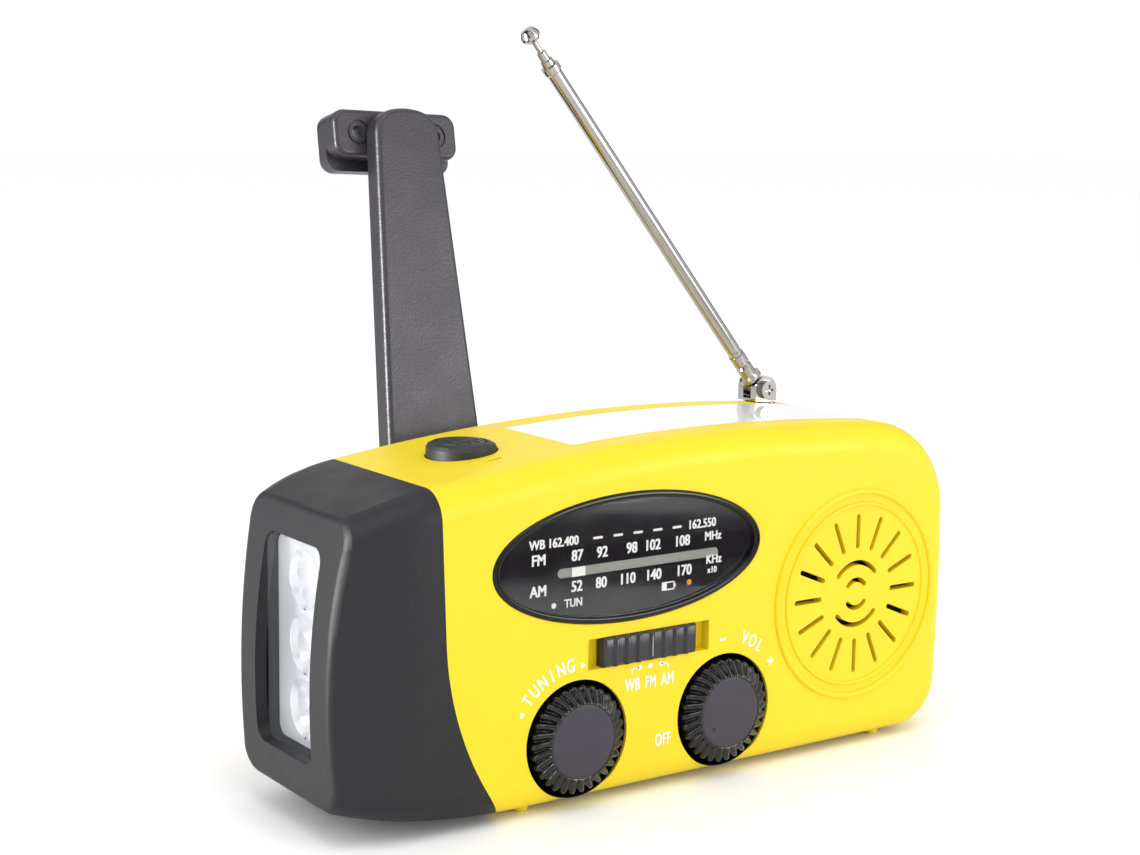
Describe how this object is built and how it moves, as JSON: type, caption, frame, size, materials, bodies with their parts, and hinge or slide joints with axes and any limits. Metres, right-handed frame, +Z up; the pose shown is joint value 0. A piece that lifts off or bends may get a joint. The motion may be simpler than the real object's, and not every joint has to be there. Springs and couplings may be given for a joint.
{
  "type": "hand-crank emergency radio",
  "caption": "Small emergency radio with a torch end, round knobs, oval dial, speaker grille, solar panel, folding hand crank on the back and a telescopic antenna.",
  "frame": {"origin": "at floor level under the middle of the case, on the underside of the middle foot", "axes": "+X along the case away from the torch end, +Y from the dial side to the crank side, +Z up"},
  "size_m": [0.1263, 0.0711, 0.1256],
  "materials": {
    "yellow_plastic": "satin",
    "black_plastic": "matte",
    "grey_plastic": "satin",
    "black_rubber": "matte",
    "clear_cover": "polished",
    "solar_silicon": "gloss",
    "reflector": "polished",
    "led": "gloss",
    "board": "satin",
    "electronics": "matte",
    "pale_plastic": "matte",
    "copper": "satin",
    "paper": "matte",
    "steel": "satin",
    "cell_wrap": "gloss",
    "gear_plastic": "satin",
    "ferrite": "matte",
    "chrome": "polished"
  },
  "bodies": {
    "case": {"front_case": "yellow_plastic", "rear_case": "yellow_plastic", "lamp_bezel": "black_plastic", "solar_cover": "clear_cover", "solar_cell": "solar_silicon", "feet": "black_rubber", "lamp_window": "clear_cover", "lamp_reflector": "reflector", "lamp_leds": "led", "lamp_board": "board", "lamp_switch": "electronics", "dial_window": "clear_cover", "dial_plate": "black_plastic", "dial_backing": "pale_plastic", "indicator_leds": "led", "band_switch_body": "black_plastic", "volume_pot": "black_plastic", "tuning_capacitor": "electronics", "main_board": "board", "ferrite_rod": "electronics", "ferrite_coil": "copper", "speaker_frame": "steel", "speaker_cone": "paper", "speaker_magnet": "electronics", "battery_cell": "cell_wrap", "battery_contacts": "steel", "battery_door": "yellow_plastic", "case_screws": "steel", "port_board": "board", "usb_socket": "steel", "micro_usb_socket": "steel", "gearbox_plate": "steel", "generator_body": "steel", "crank_bush": "steel", "antenna_base": "chrome"},
    "tuning": {"tuning_knob": "black_plastic", "tuning_pinion": "steel"},
    "pointer": {"pointer_carriage": "pale_plastic"},
    "volume": {"volume_knob": "black_plastic", "volume_shaft": "steel"},
    "band": {"band_slider": "black_plastic"},
    "lamp_key": {"lamp_button": "black_rubber"},
    "crank": {"crank_hub": "grey_plastic", "crank_gear": "gear_plastic", "crank_hinge_pin": "steel"},
    "arm": {"crank_arm": "grey_plastic", "grip_pin": "steel"},
    "grip": {"grip_front": "grey_plastic", "grip_back": "grey_plastic", "grip_screws": "steel"},
    "step": {"step_gear": "gear_plastic"},
    "rotor": {"generator_rotor": "ferrite"},
    "port_flap": {"port_cover": "black_rubber"},
    "mast_base": {"antenna_swivel": "chrome", "antenna_screw": "chrome"},
    "mast": {"antenna_knuckle": "chrome", "antenna_tube_1": "chrome"},
    "tube_2": {"antenna_tube_2": "chrome"},
    "tube_3": {"antenna_tube_3": "chrome"},
    "rod": {"antenna_rod": "chrome"}
  },
  "joints": [
    {"name": "tuning_turn", "type": "hinge", "parent": "case", "child": "tuning", "pos_m": [-0.01945, -0.017, 0.0119], "axis": [0, 1, 0], "range_deg": [0, 271]},
    {"name": "pointer_slide", "type": "slide", "parent": "case", "child": "pointer", "axis": [1, 0, 0], "range_m": [0, 0.0266]},
    {"name": "volume_turn", "type": "hinge", "parent": "case", "child": "volume", "pos_m": [0.0108, -0.017, 0.0119], "axis": [0, 1, 0], "range_deg": [0, 300]},
    {"name": "band_slide", "type": "slide", "parent": "case", "child": "band", "axis": [1, 0, 0], "range_m": [-0.0028, 0.0028]},
    {"name": "lamp_press", "type": "slide", "parent": "case", "child": "lamp_key", "axis": [0, 0, -1], "range_m": [0, 0.0012], "stiffness_N_per_m": 600, "springref_m": -0.0005},
    {"name": "crank_spin", "type": "hinge", "parent": "case", "child": "crank", "pos_m": [-0.0207, 0.0199, 0.029], "axis": [0, 1, 0], "continuous": true},
    {"name": "crank_fold", "type": "hinge", "parent": "crank", "child": "arm", "pos_m": [-0.02047, 0.0225, 0.035], "axis": [-0.9993, 0, 0.0384], "range_deg": [0, 166]},
    {"name": "grip_spin", "type": "hinge", "parent": "arm", "child": "grip", "pos_m": [-0.01773, 0.04443, 0.10636], "axis": [0.0093, -0.9703, 0.2417], "continuous": true},
    {"name": "step_turn", "type": "hinge", "parent": "case", "child": "step", "pos_m": [-0.00882, 0.012, 0.04088], "axis": [0, 1, 0], "continuous": true},
    {"name": "rotor_turn", "type": "hinge", "parent": "case", "child": "rotor", "pos_m": [0.00094, 0.004, 0.03112], "axis": [0, 1, 0], "continuous": true},
    {"name": "port_flap_turn", "type": "hinge", "parent": "case", "child": "port_flap", "pos_m": [0.0638, 0.0113, 0.026], "axis": [0, 0, 1], "range_deg": [0, 100]},
    {"name": "antenna_turn", "type": "hinge", "parent": "case", "child": "mast_base", "pos_m": [0.0445, 0.0142, 0.0585], "axis": [0, 0, 1], "range_deg": [-180, 180]},
    {"name": "antenna_tilt", "type": "hinge", "parent": "mast_base", "child": "mast", "pos_m": [0.0445, 0.0142, 0.0606], "axis": [0, 1, 0], "range_deg": [-49.5, 39.6]},
    {"name": "antenna_slide_1", "type": "slide", "parent": "mast", "child": "tube_2", "axis": [-0.6374, 0, 0.7705], "range_m": [0, 0.058]},
    {"name": "antenna_slide_2", "type": "slide", "parent": "tube_2", "child": "tube_3", "axis": [-0.6374, 0, 0.7705], "range_m": [0, 0.058]},
    {"name": "antenna_slide_3", "type": "slide", "parent": "tube_3", "child": "rod", "axis": [-0.6374, 0, 0.7705], "range_m": [0, 0.058]}
  ],
  "couplings": [
    {"joint": "pointer_slide", "follows": "tuning_turn", "m_per_rad": 0.0056},
    {"joint": "step_turn", "follows": "crank_spin", "ratio": -3.6667},
    {"joint": "rotor_turn", "follows": "crank_spin", "ratio": 13.2}
  ]
}
